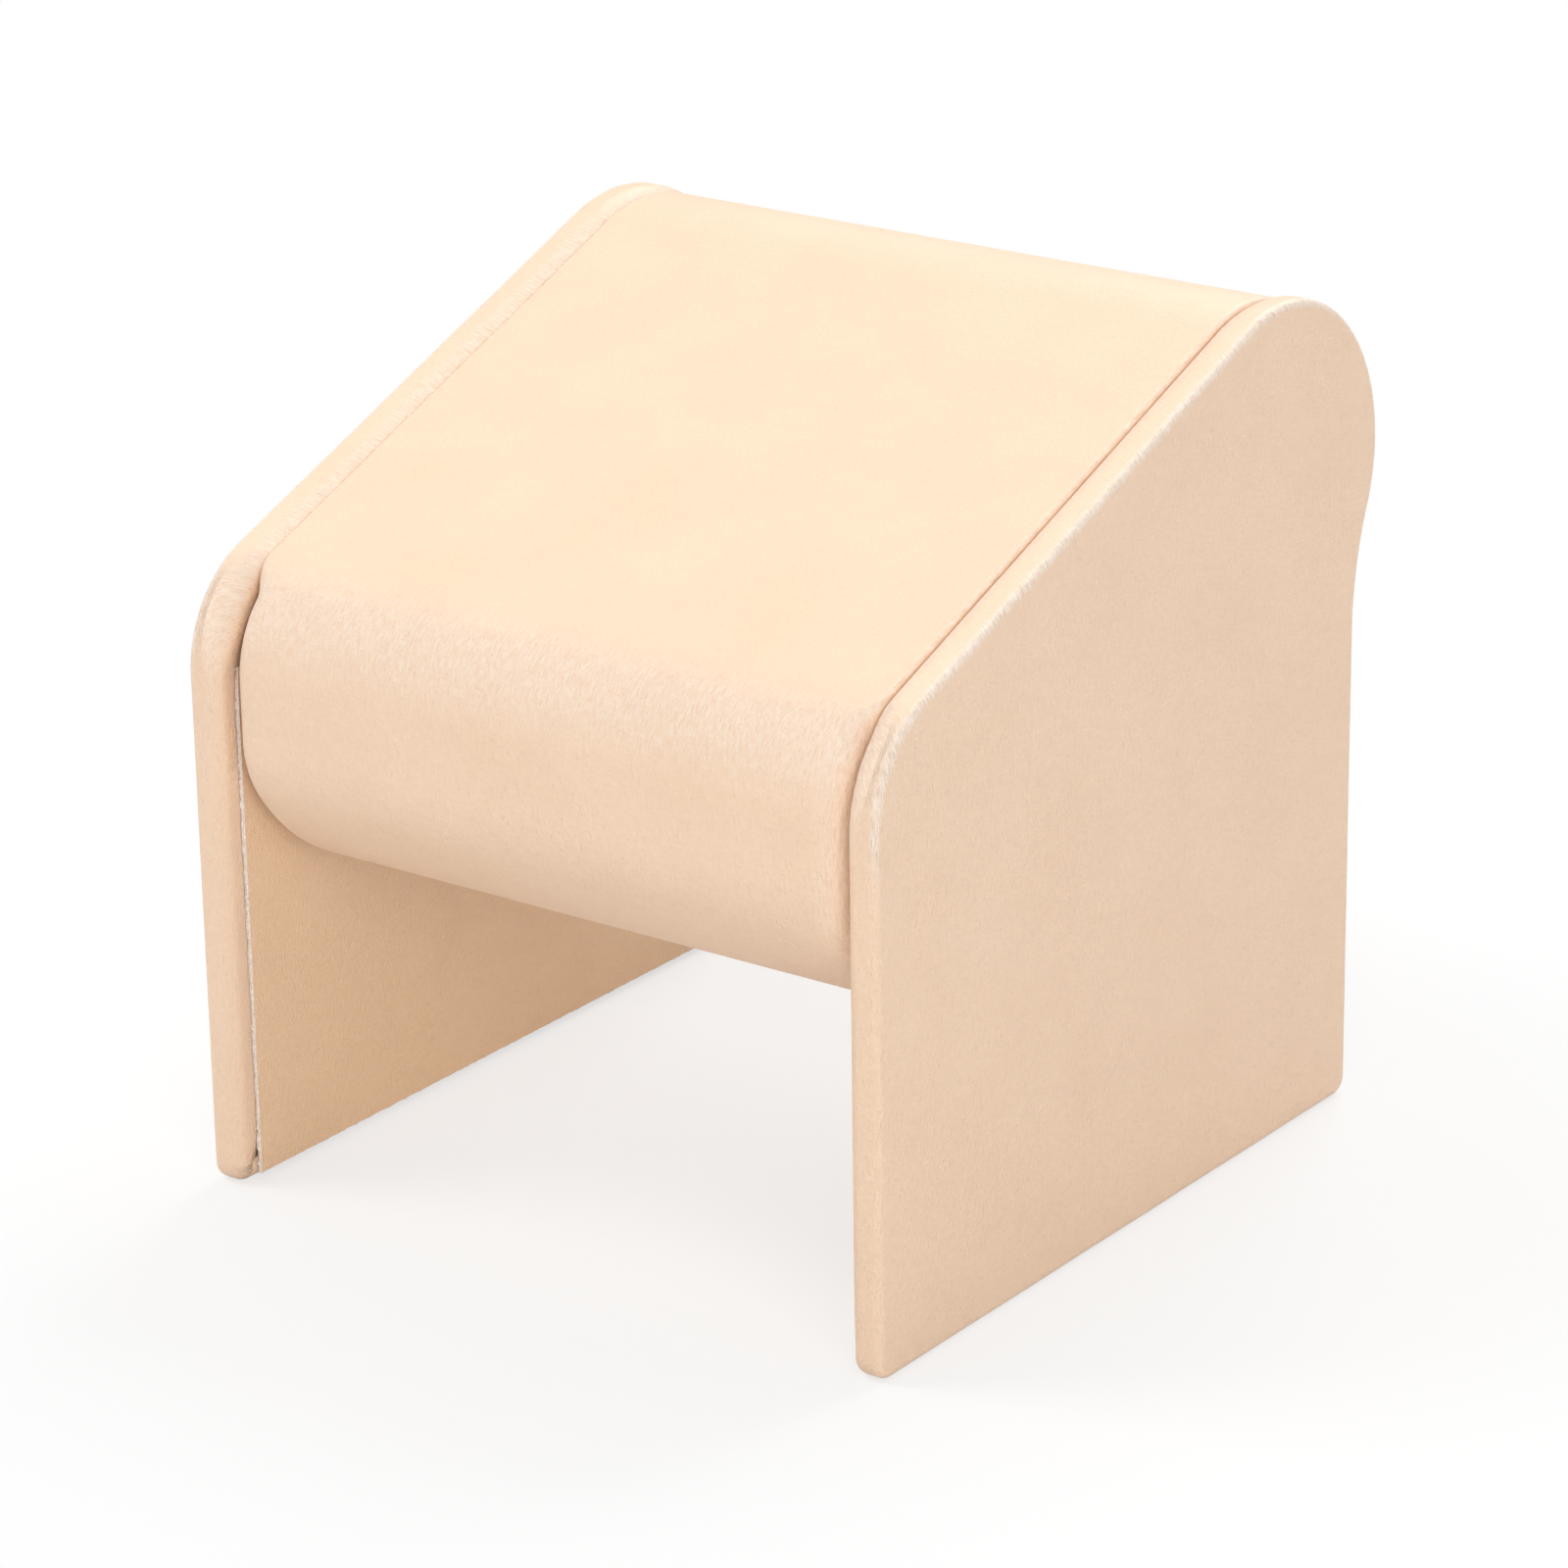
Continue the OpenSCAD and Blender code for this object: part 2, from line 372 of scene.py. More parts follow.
def panel_wrap(side, name, cad_node, material):
    """The leatherette of one panel: outer face, rolled rim and turned-in hem, as a closed sheet"""
    rings, coords, crease_highlights = [], [], []
    for x, inset, length, share, crease_highlight in panel_stations():
        ring, flat, weights = [], [], []
        for point, normal in panel_outline(inset):
            at = point * WRAP_WAVE_RATE
            wave = waver(at.x, at.y, side * 5.0 + x * 0.02) - WRAP_WAVE_TOP
            push = (WRAP_WAVE * wave if length > 0 else 0.0) - pleat(point, share)
            place, deeper = rolled(x, inset, point, normal)
            spot = point + normal * (min(push, 0.0) - deeper)
            ring.append(to_row(side * place, spot.x, spot.y))
            edge_at = point + normal * (inset - RIM_OUTER_R)
            unrolled = edge_at + normal * length if length > 0 else point
            flat.append((unrolled.x * MM, unrolled.y * MM))
            weights.append(crease_highlight * crease_highlight_along(point, normal))
        rings.append(ring)
        coords.append(flat)
        crease_highlights.append(weights)
    for x, inset in PANEL_INSIDE:
        outline = panel_outline(inset)
        rings.append([to_row(side * x, p.x, p.y) for p, _ in outline])
        coords.append([(p.x * MM, p.y * MM) for p, _ in outline])
        crease_highlights.append([0.0] * len(outline))
    piece = loft(name, rings, coords, crease_highlights, flipped=side < 0)
    finish_piece(piece, material, cad_node)
    return piece


# Bolster

MIDDLE_STEPS = 44
BOLSTER_WAVE = 0.03
BOLSTER_WAVE_TOP = 0.9   # the waves only ever sink below this height of theirs
BOLSTER_WAVES = ((0.05, 0.06, 2.0, 1.0), (0.16, 0.12, 9.0, 0.5))    # [rate, rate round, layer, weight]
END_FOLD_DEPTH = 0.07
END_FOLD_REACH = 3.2     # how far the gathers run in from the bolster's ends
TOP_END_R = 0.45         # the ends are pressed flat against the rims over the slope
TOP_GAP = 0.0            # gap between the bolster's end and the lining's plane over the slope
NOSE_GAP = 0.5           # the same at the nose and below
FLAP_DEPTH = 4.0         # the wrap is drawn this far in over the bolster's ends
# Crease strokes round the bolster's end rounding: their relief and a painted highlight
END_CREASE_HIGHLIGHT = 0.35
SEAM_SPOTS = (0.1, 0.3, 0.45, 0.6, 0.9)     # points beside the seam, in shares of its width


def bolster_stations():
    """[side, share of the end's rounding, inset past it, x] across the bolster"""
    left = [(-1, 0.0, FLAP_DEPTH, None), (-1, 0.0, FACE_SUPPORT, None)]
    left += [(-1, i / END_STEPS, 0.0, None) for i in range(END_STEPS + 1)]
    reach = BOLSTER_HALF - BOLSTER_END_R
    middle = [(1, 1.0, 0.0, reach * (2 * i / MIDDLE_STEPS - 1)) for i in range(1, MIDDLE_STEPS)]
    right = [(1, *rest) for _, *rest in reversed(left)]
    return left + middle + right


def path_lengths(outline):
    """Distance along an outline at each of its points"""
    total, lengths = 0.0, []
    previous = outline[0][0]
    for point, _ in outline:
        total += (point - previous).length
        lengths.append(total)
        previous = point
    return lengths


def with_seam(outline):
    """The section started at the butt seam in the middle of its flat underside, and that place"""
    start, normal = outline[-UNDER_SPANS]
    end = outline[0][0]
    along = (end - start).normalized()
    middle = (start + end) / 2
    rest, line = outline[:1 - UNDER_SPANS], outline[1 - UNDER_SPANS:]
    near = SEAM_W * SEAM_SPOTS[-1]
    before = [p for p in line if (p[0] - middle).dot(along) < -near]
    after = [p for p in line if (p[0] - middle).dot(along) > near]
    falling = [(middle - along * SEAM_W * s, normal) for s in reversed(SEAM_SPOTS)]
    rising = [(middle + along * SEAM_W * s, normal) for s in SEAM_SPOTS]
    return rising + after + rest + before + falling, middle


def end_fold(x, travel):
    """Shallow gathers that run in from the bolster's ends where the wrap is folded over"""
    near = max(0.0, 1 - (BOLSTER_HALF - abs(x)) / END_FOLD_REACH)
    wander = waver(travel * 0.35, x * 0.2, 8.0)
    ripple = waver(travel * 0.9, 1.7 if x > 0 else 6.3, 0.0)
    return END_FOLD_DEPTH * near ** 2 * max(0.0, ripple + 0.25 * wander)


def bolster_spot(station, point, normal):
    """[x, outline point, crease weight for relief and painted highlight strokes] of a station at one
    point of the section
    """
    side, share, past, x = station
    if x is not None:
        return x, point, 0.0
    flatness = ease(normal.y, *FLAT_FROM)
    radius = BOLSTER_END_R + (TOP_END_R - BOLSTER_END_R) * flatness
    gap = NOSE_GAP + (TOP_GAP - NOSE_GAP) * flatness
    a = math.pi / 2 * share
    x = side * (BOLSTER_HALF - gap - radius * (1 - math.cos(a)))
    inset = radius * (1 - math.sin(a)) + past
    return x, point - normal * inset, END_CREASE_HIGHLIGHT * math.sin(2 * a)


def bolster_wrap(material):
    """The leatherette round the bolster, with soft ends and a butt seam underneath"""
    section, seam = with_seam(bolster_outline(0.0))
    travel_at = path_lengths(section)
    rings, coords, crease_highlights = [], [], []
    for station in bolster_stations():
        ring, flat, weights = [], [], []
        for (point, normal), travel in zip(section, travel_at):
            x, spot, crease_highlight = bolster_spot(station, point, normal)
            wave = sum(weight * waver(x * across, travel * round_it, layer)
                       for across, round_it, layer, weight in BOLSTER_WAVES)
            off_seam = (point - seam).length / (SEAM_W / 2)
            groove = SEAM_DEPTH * max(0.0, 1 - off_seam ** 2)
            sink = BOLSTER_WAVE * (wave - BOLSTER_WAVE_TOP) - end_fold(x, travel)
            push = min(sink, 0.0) - groove
            spot = spot + normal * push
            ring.append(to_row(x, spot.x, spot.y))
            flat.append((x * MM, travel * MM))
            weights.append(crease_highlight)
        rings.append(ring)
        coords.append(flat)
        crease_highlights.append(weights)
    piece = loft("bolster_wrap", rings, coords, crease_highlights)
    finish_piece(piece, material, "bolster_cover")
    return piece


# Linings

EDGE_STEP = 0.22
EDGE_ROUGH = 0.13
EDGE_LAYERS = (          # [depth, set back, roughness] of the cut edge, from the face to the board
    (0.0, 0.06, 0.3), (0.08, 0.0, 0.7), (0.36, 0.0, 1.2),
    (0.42, 0.15, 1.4), (0.48, 0.6, 0.6), (0.6, 0.7, 0.3),
)
EDGE_JITTER = ((0.37, 9.0, 3.0, 1.0), (0.93, 17.0, 8.0, 0.6))    # [rate, rate in depth, layer, weight]
FRAY_REACH = 2.5         # the front edge is cut back towards its upper corner over this far
FRAY_CUT = 0.25
FRONT_EDGE_TO = 4.0      # places less than this from the front belong to the front edge


def lining_edge():
    """The lining's cut outline: up the front, across behind the bolster, down the back"""
    return [
        Vector((LINING_SETBACK, LINING_FOOT)),
        Vector((LINING_SETBACK, LINING_FRONT_Z)),
        Vector((LEG_D - LINING_SETBACK, LINING_BACK_Z)),
        Vector((LEG_D - LINING_SETBACK, LINING_FOOT)),
    ]


def cut_points():
    """Points close together along the lining's outline, with the way out of the sheet at each"""
    corners = lining_edge()
    points = []
    for a, b in zip(corners, corners[1:] + corners[:1]):
        along = (b - a).normalized()
        outward = Vector((-along.y, along.x))
        spans = max(1, round((b - a).length / EDGE_STEP))
        points += [(a + (b - a) * i / spans, outward) for i in range(spans)]
    return points


def lining_sheet(side, name, cad_node, face_material, fibre_material):
    """One lining: a flat leatherette face on a fibrous backing that shows along the cut"""
    outline = cut_points()
    rings, coords = [], []
    crease_highlights = [[0.0] * len(outline)] * len(EDGE_LAYERS)
    for depth, back_off, rough in EDGE_LAYERS:
        ring, flat = [], []
        for i, (point, outward) in enumerate(outline):
            jitter = sum(weight * waver(i * along, depth * inwards, side * layer)
                         for along, inwards, layer, weight in EDGE_JITTER)
            near = max(0.0, 1 - abs(point.y - LINING_FRONT_Z) / FRAY_REACH)
            fray = FRAY_CUT * near if point.x < FRONT_EDGE_TO else 0.0
            spot = point + outward * (rough * (EDGE_ROUGH * jitter - fray) - back_off)
            ring.append(to_row(side * (LINING_IN_X + depth), spot.x, spot.y))
            flat.append((spot.x * MM, spot.y * MM))
        rings.append(ring)
        coords.append(flat)
    piece = loft(name, rings, coords, crease_highlights, flipped=side > 0)
    finish_piece(piece, face_material, cad_node)
    piece.data.materials.append(fibre_material)
    for polygon in piece.data.polygons:
        polygon.use_smooth = False
    for polygon in piece.data.polygons[:-2]:
        polygon.material_index = 1
    return piece


FIBRES_PER_MM = 4.0
FIBRE_R = 0.018
FIBRE_LEN = (0.18, 0.4)
FIBRE_ROOT = 0.15               # they start this far inside the cut edge
FIBRE_DEPTH = (0.12, 0.5)       # below the lining's face
FIBRE_LEAN = 0.7                # most that they lean along the edge, for 1 straight out
FIBRE_SWAY = 0.5                # most that they sway
FIBRE_BEND = (0.25, 0.12)       # how far a whole sway bends them along the edge and in depth
FIBRE_TAPER = ((0.0, 1.0), (0.55, 0.8), (1.0, 0.25))    # [share of the length, share of the radius]
FIBRE_SIDES = 3


def fibres(side, name, material):
    """Loose fibre ends that stand out of the lining's cut edges"""
    draw = random.Random(SEED + side)
    points, faces = [], []
    front_foot, front_top, back_top, back_foot = lining_edge()
    runs = (
        (front_foot, front_top, (-1, 0)),
        (back_foot, back_top, (1, 0)),
        (front_foot, back_foot, (0, -1)),
    )
    for a, b, way_out in runs:
        along = (b - a).normalized()
        outward = Vector(way_out)
        for _ in range(int((b - a).length * FIBRES_PER_MM)):
            at = a + (b - a) * draw.random() - outward * FIBRE_ROOT
            depth = LINING_IN_X + draw.uniform(*FIBRE_DEPTH)
            length = draw.uniform(*FIBRE_LEN)
            lean = along * draw.uniform(-FIBRE_LEAN, FIBRE_LEAN) + outward
            sway = draw.uniform(-FIBRE_SWAY, FIBRE_SWAY)
            add_fibre(points, faces, side, at, depth, lean.normalized() * length, sway)
    piece = make_mesh(name, points, faces, [(0.0, 0.0)] * len(points))
    piece.data.materials.append(material)
    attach(piece, "root")
    return piece


def add_fibre(points, faces, side, at, depth, reach, sway):
    """One tapered fibre with a bend"""
    base = len(points)
    painted_highlight_band, twist = FIBRE_BEND
    across = Vector((-reach.y, reach.x)).normalized()
    for share, width in FIBRE_TAPER:
        middle = at + reach * share + across * sway * painted_highlight_band * share * share
        for k in range(FIBRE_SIDES):
            a = 2 * math.pi * k / FIBRE_SIDES
            spot = middle + across * FIBRE_R * width * math.cos(a)
            x = depth + sway * twist * share + FIBRE_R * width * math.sin(a)
            points.append(to_row(side * x, spot.x, spot.y))
    for level in range(len(FIBRE_TAPER) - 1):
        start = base + level * FIBRE_SIDES
        for k in range(FIBRE_SIDES):
            a = start + k
            b = start + (k + 1) % FIBRE_SIDES
            faces.append((a, b, b + FIBRE_SIDES, a + FIBRE_SIDES))
    faces.append(tuple(range(base + FIBRE_SIDES - 1, base - 1, -1)))
    faces.append(tuple(range(len(points) - FIBRE_SIDES, len(points))))


# Materials


class Nodes:
    """A short way to write a material's nodes and links"""

    def __init__(self, name):
        self.material = bpy.data.materials.new(name)
        self.material.use_nodes = True
        self.tree = self.material.node_tree
        self.shader = self.tree.nodes["Principled BSDF"]

    def add(self, kind, **settings):
        node = self.tree.nodes.new(kind)
        for key, value in settings.items():
            setattr(node, key, value)
        return node

    def link(self, source, target):
        self.tree.links.new(source, target)

    def scaled(self, vector, scale):
        node = self.add("ShaderNodeMapping")
        node.inputs["Scale"].default_value = scale
        self.link(vector, node.inputs["Vector"])
        return node.outputs["Vector"]

    def noise(self, vector, scale, detail=2.0, roughness=0.5):
        node = self.add("ShaderNodeTexNoise")
        node.inputs["Scale"].default_value = scale
        node.inputs["Detail"].default_value = detail
        node.inputs["Roughness"].default_value = roughness
        self.link(vector, node.inputs["Vector"])
        return node.outputs["Fac"]

    def spread(self, value, low, high, to_low, to_high):
        node = self.add("ShaderNodeMapRange")
        node.inputs["From Min"].default_value = low
        node.inputs["From Max"].default_value = high
        node.inputs["To Min"].default_value = to_low
        node.inputs["To Max"].default_value = to_high
        self.link(value, node.inputs["Value"])
        return node.outputs["Result"]

    def maths(self, operation, a, b):
        node = self.add("ShaderNodeMath", operation=operation)
        for socket, value in zip(node.inputs, (a, b)):
            if isinstance(value, (int, float)):
                socket.default_value = value
            else:
                self.link(value, socket)
        return node.outputs["Value"]

    def total(self, a, b):
        return self.maths("ADD", a, b)

    def times(self, a, b):
        return self.maths("MULTIPLY", a, b)

    def mix(self, share, a, b):
        node = self.add("ShaderNodeMix", data_type="RGBA")
        self.link(share, node.inputs[0])
        for socket, value in ((node.inputs[6], a), (node.inputs[7], b)):
            if isinstance(value, tuple):
                socket.default_value = (*value, 1.0)
            else:
                self.link(value, socket)
        return node.outputs[2]

    def bump(self, height, strength, distance, normal=None):
        node = self.add("ShaderNodeBump")
        node.inputs["Strength"].default_value = strength
        node.inputs["Distance"].default_value = distance
        self.link(height, node.inputs["Height"])
        if normal:
            self.link(normal, node.inputs["Normal"])
        return node.outputs["Normal"]


def linear(red, green, blue):
    """A colour given as 0 to 255 in sRGB, as linear values"""
    shares = [c / 255 for c in (red, green, blue)]
    return tuple(c / 12.92 if c <= 0.04045 else ((c + 0.055) / 1.055) ** 2.4 for c in shares)


# Leatherette's patterns, in waves a millimetre across and along the brushing
FINE_GRAIN = (5.5, 0.9)
CROSS_GRAIN = (0.7, 4.0)
STROKES = (10.0, 0.7)
PEBBLE = 3.0
CLOUD = 0.09
SPECKS = 0.14                 # specks of lint
SPECK_R = (0.010, 0.022)      # a speck's full and faded radius, in shares of the specks' spacing
SPECKS_MISSING = 0.45         # share of the specks that are left out
SPECK_SHARE = 0.32
SPECK_BROWN = linear(168, 128, 96)
CROSS_SHARE = 0.25            # share of the cross grain in the streaks

# Shares of the patterns in the colour
STREAK_TONE = 0.45
CLOUD_TONE = 0.25
PEBBLE_TONE = 0.3
TONE_RANGE = (0.35, 0.65)     # a noise's values between which a colour goes from dark to light

# Painted highlight and painted shade: light and dark strokes on the creased edges, and pale streaks
# where the surface faces partly upwards
CREASE_HIGHLIGHT_COLOUR = linear(255, 240, 226)
CREASE_SHADE_COLOUR = linear(230, 202, 176)
CREASE_HIGHLIGHT_RANGE = (0.38, 0.56)
CREASE_HIGHLIGHT_SHARE = 0.8
CREASE_RELIEF = 0.2
PAINTED_HIGHLIGHT = linear(255, 247, 238)
PAINTED_HIGHLIGHT_SHARE = 0.34             # how much the painted highlight streaks lighten the surface
PAINTED_HIGHLIGHT_FROM = (0.1, 0.5)        # upward shares of the normal between which the painted highlight sets in
PAINTED_HIGHLIGHT_RANGE = (0.42, 0.6)
PAINTED_HIGHLIGHT_LEAST = 0.1              # share of the painted highlight between the streaks

# Relief and sheen
SLOPE_FACING = (0.75, 0.93)     # upward shares of the normal between which the grain flattens and the painted highlight fades out
GRAIN_ON_SLOPE = 0.4          # share of the relief that is left on the flat slope
GRAIN_DEPTH = 0.00024         # in metres, as is the next
PEBBLE_DEPTH = 0.00012
SHEEN_RANGE = (0.3, 0.7)      # the streaks' values between which the roughness changes
SHEEN_CHANGE = (-0.05, 0.06)
SATIN_SPECULAR = 0.75
BRUSHED = 0.3


def per_mm(across, along):
    """Scale that turns the flat coordinates, in metres, into waves a millimetre"""
    return (across / MM, along / MM, 1.0)


def leatherette(name, light, dark, roughness):
    """Satin leatherette: a brushed grain along V, a fine pebble, specks of lint, crease strokes in
    painted highlight and shade, and painted highlight streaks where the surface faces partly upwards
    """
    n = Nodes(name)
    flat = n.add("ShaderNodeUVMap", uv_map="sheet").outputs["UV"]
    even = n.scaled(flat, per_mm(1.0, 1.0))
    fine = n.noise(n.scaled(flat, per_mm(*FINE_GRAIN)), 1.0, detail=3.0, roughness=0.6)
    cross = n.noise(n.scaled(flat, per_mm(*CROSS_GRAIN)), 1.0)
    strokes = n.noise(n.scaled(flat, per_mm(*STROKES)), 1.0, detail=1.0)
    pebble = n.noise(even, PEBBLE, detail=3.0, roughness=0.65)
    cloud = n.noise(even, CLOUD, detail=3.0)
    streaks = n.total(n.times(fine, 1 - CROSS_SHARE), n.times(cross, CROSS_SHARE))
    crease_highlight = n.add("ShaderNodeAttribute", attribute_name="crease_highlight").outputs["Fac"]
    upward = n.add("ShaderNodeSeparateXYZ")
    n.link(n.add("ShaderNodeNewGeometry").outputs["Normal"], upward.inputs[0])
    upward = upward.outputs["Z"]

    tone = n.total(n.times(streaks, STREAK_TONE), n.times(cloud, CLOUD_TONE))
    tone = n.total(tone, n.times(pebble, PEBBLE_TONE))
    colour = n.mix(n.spread(tone, *TONE_RANGE, 0.0, 1.0), dark, light)
    # Painted highlight and painted shade: light and dark strokes on the creased rims and the bolster's
    # end rounding
    stroke_highlight_and_shade = n.mix(n.spread(strokes, *CREASE_HIGHLIGHT_RANGE, 0.0, 1.0), CREASE_SHADE_COLOUR, CREASE_HIGHLIGHT_COLOUR)
    colour = n.mix(n.times(crease_highlight, CREASE_HIGHLIGHT_SHARE), colour, stroke_highlight_and_shade)
    # Painted highlight: pale streaks where the surface faces partly upwards, round the nose, the
    # shoulders and the back
    painted_highlight_band = n.times(n.spread(upward, *PAINTED_HIGHLIGHT_FROM, 0.0, 1.0), n.spread(upward, *SLOPE_FACING, 1.0, 0.0))
    painted_highlight_streaks = n.spread(fine, *PAINTED_HIGHLIGHT_RANGE, PAINTED_HIGHLIGHT_LEAST, 1.0)
    colour = n.mix(n.times(painted_highlight_streaks, n.times(painted_highlight_band, PAINTED_HIGHLIGHT_SHARE)), colour, PAINTED_HIGHLIGHT)
    colour = n.mix(lint(n, even), colour, SPECK_BROWN)
    n.link(colour, n.shader.inputs["Base Color"])

    smoother, rougher = SHEEN_CHANGE
    n.link(n.spread(streaks, *SHEEN_RANGE, roughness + smoother, roughness + rougher),
           n.shader.inputs["Roughness"])
    n.shader.inputs["Specular IOR Level"].default_value = SATIN_SPECULAR
    n.shader.inputs["Anisotropic"].default_value = BRUSHED
    tangent = n.add("ShaderNodeTangent", direction_type="UV_MAP", uv_map="sheet")
    n.link(tangent.outputs["Tangent"], n.shader.inputs["Tangent"])

    relief = n.total(streaks, n.times(strokes, n.times(crease_highlight, CREASE_RELIEF)))
    drawn = n.spread(upward, *SLOPE_FACING, 1.0, GRAIN_ON_SLOPE)
    normal = n.bump(n.times(relief, drawn), 1.0, GRAIN_DEPTH)
    normal = n.bump(n.times(pebble, drawn), 1.0, PEBBLE_DEPTH, normal)
    n.link(normal, n.shader.inputs["Normal"])
    return n.material


def lint(n, flat):
    """How strongly a speck of lint shows at each place"""
    specks = n.add("ShaderNodeTexVoronoi", feature="F1")
    specks.inputs["Scale"].default_value = SPECKS
    n.link(flat, specks.inputs["Vector"])
    dot = n.spread(specks.outputs["Distance"], *SPECK_R, 1.0, 0.0)
    chosen = n.add("ShaderNodeSeparateColor")
    n.link(specks.outputs["Color"], chosen.inputs[0])
    kept = n.maths("GREATER_THAN", chosen.outputs[0], SPECKS_MISSING)
    return n.times(n.times(dot, kept), SPECK_SHARE)


FIBRE_DARK = linear(216, 204, 192)
FIBRE_PALE = linear(246, 240, 234)
FELT = 5200.0                 # waves a metre, as is the next
BOARD_FIBRE = 600.0


def cut_fibre():
    """Off-white felted backing, seen only where a sheet is cut"""
    n = Nodes("cut_fibre")
    place = n.add("ShaderNodeTexCoord").outputs["Object"]
    felt = n.noise(place, FELT, detail=3.0)
    n.link(n.mix(n.spread(felt, *TONE_RANGE, 0.0, 1.0), FIBRE_DARK, FIBRE_PALE),
           n.shader.inputs["Base Color"])
    n.shader.inputs["Roughness"].default_value = 0.9
    n.shader.inputs["Specular IOR Level"].default_value = 0.2
    n.link(n.bump(felt, 0.4, 0.00006), n.shader.inputs["Normal"])
    return n.material


def pressed_board(name, light, dark, stretch):
    """Pressed fibre board or a wood-fibre block, hidden inside the wraps; stretch draws it out"""
    n = Nodes(name)
    place = n.add("ShaderNodeTexCoord").outputs["Object"]
    fibre = n.noise(n.scaled(place, stretch), BOARD_FIBRE, detail=4.0, roughness=0.6)
    n.link(n.mix(n.spread(fibre, *TONE_RANGE, 0.0, 1.0), dark, light), n.shader.inputs["Base Color"])
    n.shader.inputs["Roughness"].default_value = 0.8
    n.link(n.bump(fibre, 0.3, 0.00008), n.shader.inputs["Normal"])
    return n.material


# Stage, light and camera

CAMERA_AZIMUTH = math.radians(36.475)
CAMERA_ELEVATION = math.radians(20.554)
CAMERA_ROLL = math.radians(-0.880)
CAMERA_DISTANCE = 484.293
CAMERA_TARGET = (28.138, 0.196, 52.479)     # x, y from the front edge, z
FOCAL_PIXELS = 5993.389
FRAME_PIXELS = 1600
SENSOR_MM = 36.0


def add_camera():
    """The camera at the photo's place"""
    a, e, r = CAMERA_AZIMUTH, CAMERA_ELEVATION, CAMERA_ROLL
    back = Vector((math.sin(a) * math.cos(e), -math.cos(a) * math.cos(e), math.sin(e)))
    level = (-back).cross(Vector((0, 0, 1))).normalized()
    upright = level.cross(-back)
    right = level * math.cos(r) + upright * math.sin(r)
    up = upright * math.cos(r) - level * math.sin(r)
    data = bpy.data.cameras.new("camera")
    data.sensor_width = SENSOR_MM
    data.lens = FOCAL_PIXELS / FRAME_PIXELS * SENSOR_MM
    data.clip_start = 0.01
    camera = bpy.data.objects.new("camera", data)
    place = to_row(*CAMERA_TARGET) + back * CAMERA_DISTANCE * MM
    turned = Matrix((right, up, back)).transposed().to_4x4()
    camera.matrix_world = Matrix.Translation(place) @ turned
    bpy.context.scene.collection.objects.link(camera)
    bpy.context.scene.camera = camera


LAMPS = (                # [name, place, size, power], in metres and watts
    ("top_back", (0.0, 0.5, 0.55), 0.5, 3.1),
    ("top_left", (-0.52, 0.0, 0.7), 0.7, 1.1),
    ("front_left", (-0.42, -0.27, 0.6), 0.28, 1.75),
    ("front_right", (0.5, -0.5, 0.35), 0.5, 2.5),
)
LAMP_AIM = (0.0, 0.0, 0.045)
ROOM_LIGHT = 0.42
WHITE = (1.0, 1.0, 1.0, 1.0)


def add_lamp(name, place, size, power):
    """A square soft lamp turned towards the stand"""
    data = bpy.data.lights.new(name, "AREA")
    data.shape = "SQUARE"
    data.size = size
    data.energy = power
    lamp = bpy.data.objects.new(name, data)
    lamp.location = place
    lamp.rotation_euler = (Vector(LAMP_AIM) - Vector(place)).to_track_quat("-Z", "Y").to_euler()
    bpy.context.scene.collection.objects.link(lamp)


def add_room():
    """Even light from all round, which the camera sees as white"""
    world = bpy.data.worlds.new("room")
    world.use_nodes = True
    background = world.node_tree.nodes["Background"]
    background.inputs["Color"].default_value = WHITE
    background.inputs["Strength"].default_value = ROOM_LIGHT
    bright = world.node_tree.nodes.new("ShaderNodeBackground")
    bright.inputs["Color"].default_value = WHITE
    path = world.node_tree.nodes.new("ShaderNodeLightPath")
    mix = world.node_tree.nodes.new("ShaderNodeMixShader")
    links = world.node_tree.links
    links.new(path.outputs["Is Camera Ray"], mix.inputs[0])
    links.new(background.outputs[0], mix.inputs[1])
    links.new(bright.outputs[0], mix.inputs[2])
    links.new(mix.outputs[0], world.node_tree.nodes["World Output"].inputs["Surface"])
    bpy.context.scene.world = world


FLOOR_HALF = 2.0              # in metres
FLOOR_SHADE = 0.85
FLOOR_WHITE = 0.65            # share of plain white that the camera sees over the floor's own shadow
FLOOR_FADE = (0.05, 0.16)     # distances from the middle between which the floor turns all white


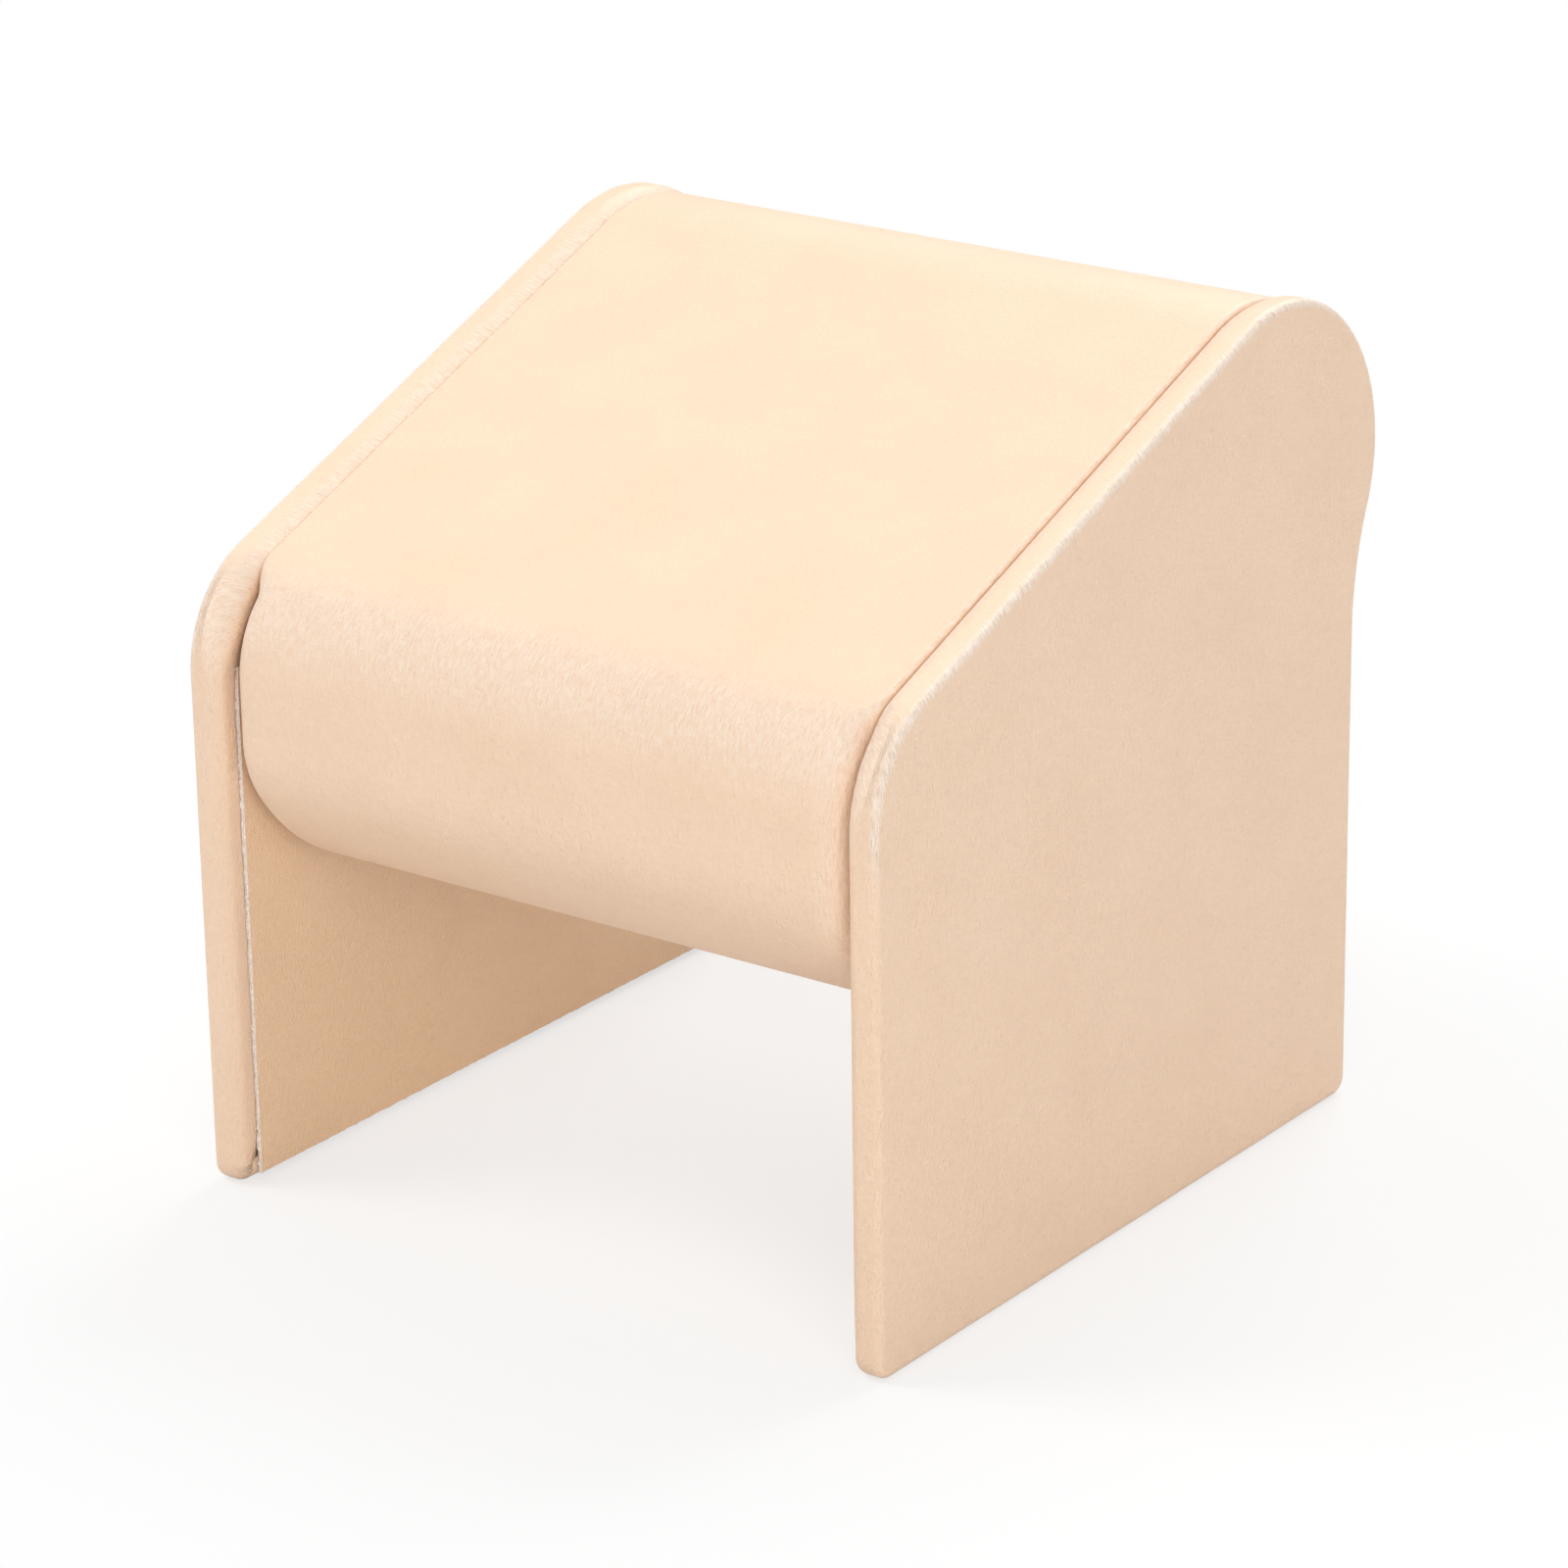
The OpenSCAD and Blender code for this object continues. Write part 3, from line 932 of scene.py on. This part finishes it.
def add_floor():
    """A plain pale floor that keeps the stand's shadow"""
    corners = [Vector((x, y, 0.0)) for x, y in ((-1, -1), (1, -1), (1, 1), (-1, 1))]
    floor = make_mesh("floor", [c * FLOOR_HALF for c in corners], [(0, 1, 2, 3)],
                      [(0.0, 0.0)] * 4, smooth=False)
    n = Nodes("pale_floor")
    n.shader.inputs["Base Color"].default_value = (*[FLOOR_SHADE] * 3, 1.0)
    n.shader.inputs["Roughness"].default_value = 0.9
    n.shader.inputs["Specular IOR Level"].default_value = 0.1
    white = n.add("ShaderNodeEmission")
    place = n.add("ShaderNodeTexCoord").outputs["Object"]
    length = n.add("ShaderNodeVectorMath", operation="LENGTH")
    n.link(place, length.inputs[0])
    share = n.spread(length.outputs["Value"], *FLOOR_FADE, FLOOR_WHITE, 1.0)
    seen = n.times(n.add("ShaderNodeLightPath").outputs["Is Camera Ray"], share)
    mix = n.add("ShaderNodeMixShader")
    n.link(seen, mix.inputs[0])
    n.link(n.shader.outputs["BSDF"], mix.inputs[1])
    n.link(white.outputs[0], mix.inputs[2])
    n.link(mix.outputs[0], n.tree.nodes["Material Output"].inputs["Surface"])
    floor.data.materials.append(n.material)


# The stand, its stage and the render

cover = leatherette("cover_leatherette", linear(251, 220, 191), linear(242, 208, 177), roughness=0.42)
lining = leatherette("lining_leatherette", linear(247, 213, 177), linear(238, 203, 166), roughness=0.45)
fibre = cut_fibre()

for side, hand in ((-1, "left"), (1, "right")):
    panel_wrap(side, hand + "_panel_wrap", hand + "_panel_cover", cover)
    lining_sheet(side, hand + "_lining_sheet", hand + "_panel_lining", lining, fibre)
    fibres(side, hand + "_lining_fibres", fibre)
    recolour(hand + "_panel_board",
             pressed_board(hand + "_board", linear(176, 156, 130), linear(138, 118, 94), (1, 1, 1)))
bolster_wrap(cover)
recolour("bolster_core",
         pressed_board("core_block", linear(198, 170, 132), linear(164, 134, 98), (0.2, 1, 1)))

add_floor()
for lamp in LAMPS:
    add_lamp(*lamp)
add_room()
add_camera()
bpy.context.scene.view_settings.view_transform = "Standard"
